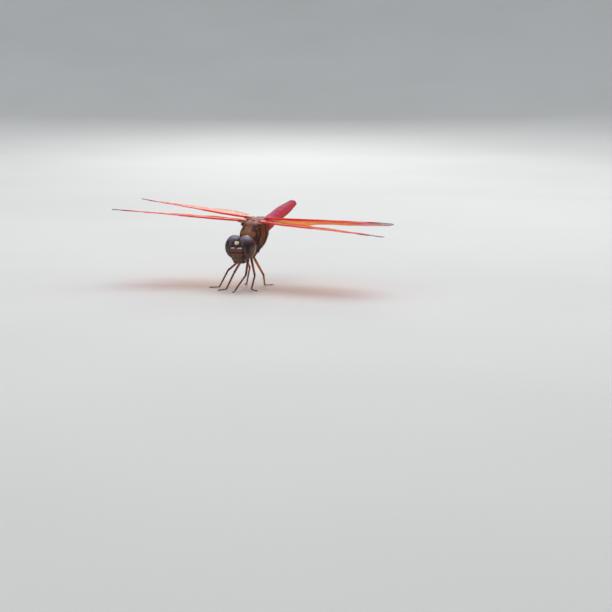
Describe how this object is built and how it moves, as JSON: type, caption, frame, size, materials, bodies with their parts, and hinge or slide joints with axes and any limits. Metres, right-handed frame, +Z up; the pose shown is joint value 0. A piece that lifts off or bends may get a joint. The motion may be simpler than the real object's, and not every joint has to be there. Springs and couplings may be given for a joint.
{
  "type": "dragonfly",
  "caption": "Red skimmer dragonfly, life size, standing on its feet with amber-red wings spread and red abdomen raised; a still natural-history figure",
  "frame": {"origin": "on the floor, under the middle of the bounding box", "axes": "+X across the wings toward the animal's left, the head looks toward -Y, +Z up"},
  "size_m": [0.0554, 0.0336, 0.0161],
  "materials": {
    "eye": "dark purple-brown compound eye with a soft lilac sheen above and olive-brown below",
    "face": "satin red-brown face plates, lighter orange-brown toward the mouth",
    "vertex": "satin cream-yellow knob between the eyes",
    "thorax": "golden-brown shell with dark seams under short fine hair",
    "abdomen": "crimson plates with a faint powdery bloom",
    "wing": "glossy amber membrane with red veins, clear toward the tip",
    "leg": "orange-brown satin leg with fine dark spines",
    "foreleg": "dark maroon satin leg with orange lights and fine dark spines"
  },
  "bodies": {
    "root": {"head_capsule": "face", "eye_left": "eye", "eye_right": "eye", "vertex": "vertex", "frons": "face", "clypeus": "face", "labrum": "face", "mandible_left": "face", "mandible_right": "face", "labium": "face", "antenna_left": "foreleg", "antenna_right": "foreleg", "prothorax": "thorax", "mesothorax": "thorax", "metathorax": "thorax", "abdomen_1": "abdomen", "abdomen_2": "abdomen", "abdomen_3": "abdomen", "abdomen_4": "abdomen", "abdomen_5": "abdomen", "abdomen_6": "abdomen", "abdomen_7": "abdomen", "abdomen_8": "abdomen", "abdomen_9": "abdomen", "abdomen_10": "abdomen", "cercus_left": "abdomen", "cercus_right": "abdomen", "epiproct": "abdomen", "forewing_left": "wing", "forewing_right": "wing", "hindwing_left": "wing", "hindwing_right": "wing", "foreleg_left_coxa": "foreleg", "foreleg_left_femur": "foreleg", "foreleg_left_tibia": "foreleg", "foreleg_left_tarsus": "foreleg", "foreleg_right_coxa": "foreleg", "foreleg_right_femur": "foreleg", "foreleg_right_tibia": "foreleg", "foreleg_right_tarsus": "foreleg", "midleg_left_coxa": "foreleg", "midleg_left_femur": "foreleg", "midleg_left_tibia": "foreleg", "midleg_left_tarsus": "foreleg", "midleg_right_coxa": "foreleg", "midleg_right_femur": "foreleg", "midleg_right_tibia": "foreleg", "midleg_right_tarsus": "foreleg", "hindleg_left_coxa": "leg", "hindleg_left_femur": "leg", "hindleg_left_tibia": "leg", "hindleg_left_tarsus": "leg", "hindleg_right_coxa": "leg", "hindleg_right_femur": "leg", "hindleg_right_tibia": "leg", "hindleg_right_tarsus": "leg"}
  },
  "joints": []
}
